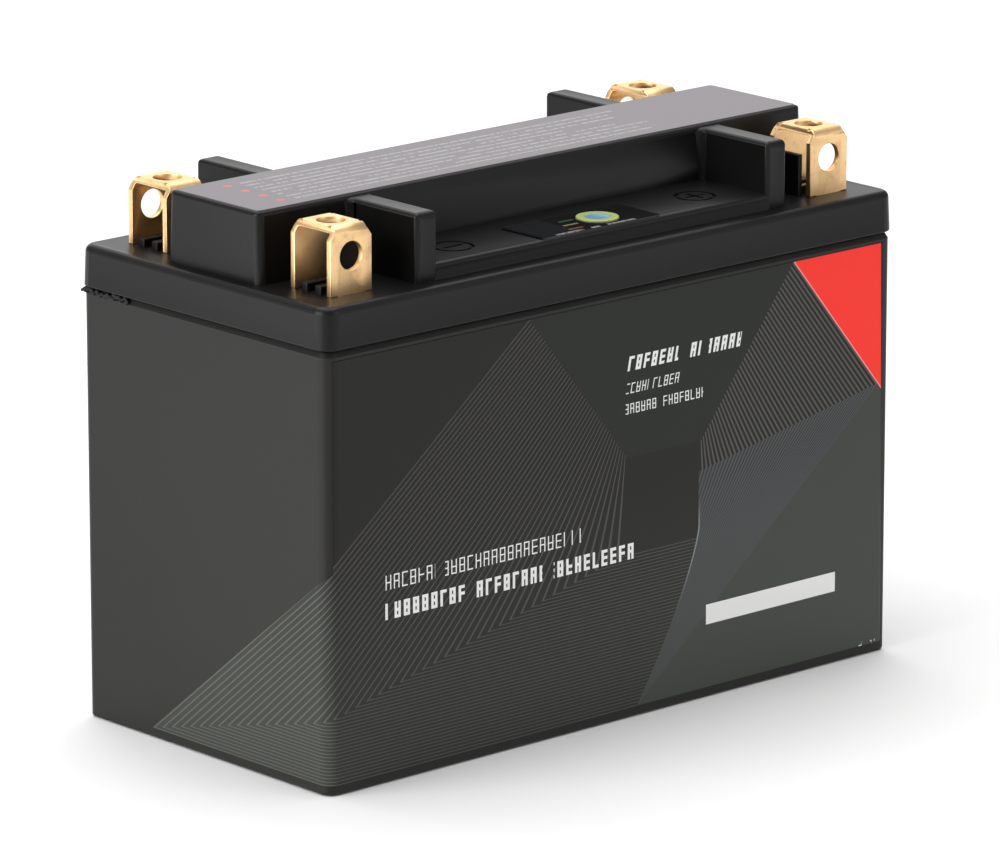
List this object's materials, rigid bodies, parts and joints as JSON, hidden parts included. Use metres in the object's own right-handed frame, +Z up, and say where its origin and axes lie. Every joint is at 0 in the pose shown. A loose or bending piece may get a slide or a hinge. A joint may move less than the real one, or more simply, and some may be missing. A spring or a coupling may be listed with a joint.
{
  "type": "motorcycle battery",
  "caption": "Lithium starter battery in a black case with a ridged lid, brass bracket terminals at the corners and a charge indicator with a test button.",
  "frame": {"origin": "centre of the footprint, on the face the battery stands on", "axes": "+X along the long side towards the positive terminals, +Y from the indicator side to the rear, +Z up"},
  "size_m": [0.1766, 0.0868, 0.1288],
  "materials": {
    "case_plastic": "satin moulded ABS",
    "lid_plastic": "satin moulded ABS with a fine grain",
    "sealant": "matt adhesive bead",
    "brass": "stamped and tumbled, satin",
    "front_film": "satin printed film",
    "top_film": "matt printed film",
    "panel_film": "gloss printed film",
    "green_window": "clear light guide",
    "yellow_window": "clear light guide",
    "red_window": "clear light guide",
    "button_plastic": "satin moulded, pale centre",
    "switch_plastic": "moulded nylon",
    "switch_metal": "tinned",
    "circuit_board": "solder mask",
    "led_resin": "clear resin",
    "chip_resin": "moulded resin",
    "steel": "zinc plated",
    "foam": "closed-cell foam",
    "cell_sleeve": "shrink sleeve",
    "retainer_plastic": "moulded nylon",
    "copper": "rolled copper strip"
  },
  "bodies": {
    "battery": {"case": "case_plastic", "lid": "lid_plastic", "lid_sealant": "sealant", "terminal_front_left": "brass", "terminal_front_right": "brass", "terminal_rear_left": "brass", "terminal_rear_right": "brass", "front_label": "front_film", "top_label": "top_film", "indicator_panel": "panel_film", "charge_window_green": "green_window", "charge_window_yellow": "yellow_window", "charge_window_red": "red_window", "test_switch": "switch_metal", "indicator_board": "circuit_board", "indicator_leds": "led_resin", "indicator_screws": "steel", "board_link": "switch_plastic", "balance_board": "circuit_board", "balance_resistors": "chip_resin", "balance_transistors": "chip_resin", "control_chip": "chip_resin", "balance_screws": "steel", "sense_pins": "brass", "cell_1": "cell_sleeve", "cell_2": "cell_sleeve", "cell_3": "cell_sleeve", "cell_4": "cell_sleeve", "cell_pad_1": "foam", "cell_pad_2": "foam", "cell_pad_3": "foam", "end_pad_left": "foam", "end_pad_right": "foam", "base_pad": "foam", "cell_retainer": "retainer_plastic", "busbar_1": "copper", "busbar_2": "copper", "busbar_3": "copper", "negative_collector": "copper", "positive_collector": "copper"},
    "button": {"test_button": "button_plastic", "switch_plunger": "switch_plastic"}
  },
  "joints": [
    {"name": "test_button_press", "type": "slide", "parent": "battery", "child": "button", "axis": [0, 0, -1], "range_m": [0, 0.0005], "stiffness_N_per_m": 2500}
  ]
}
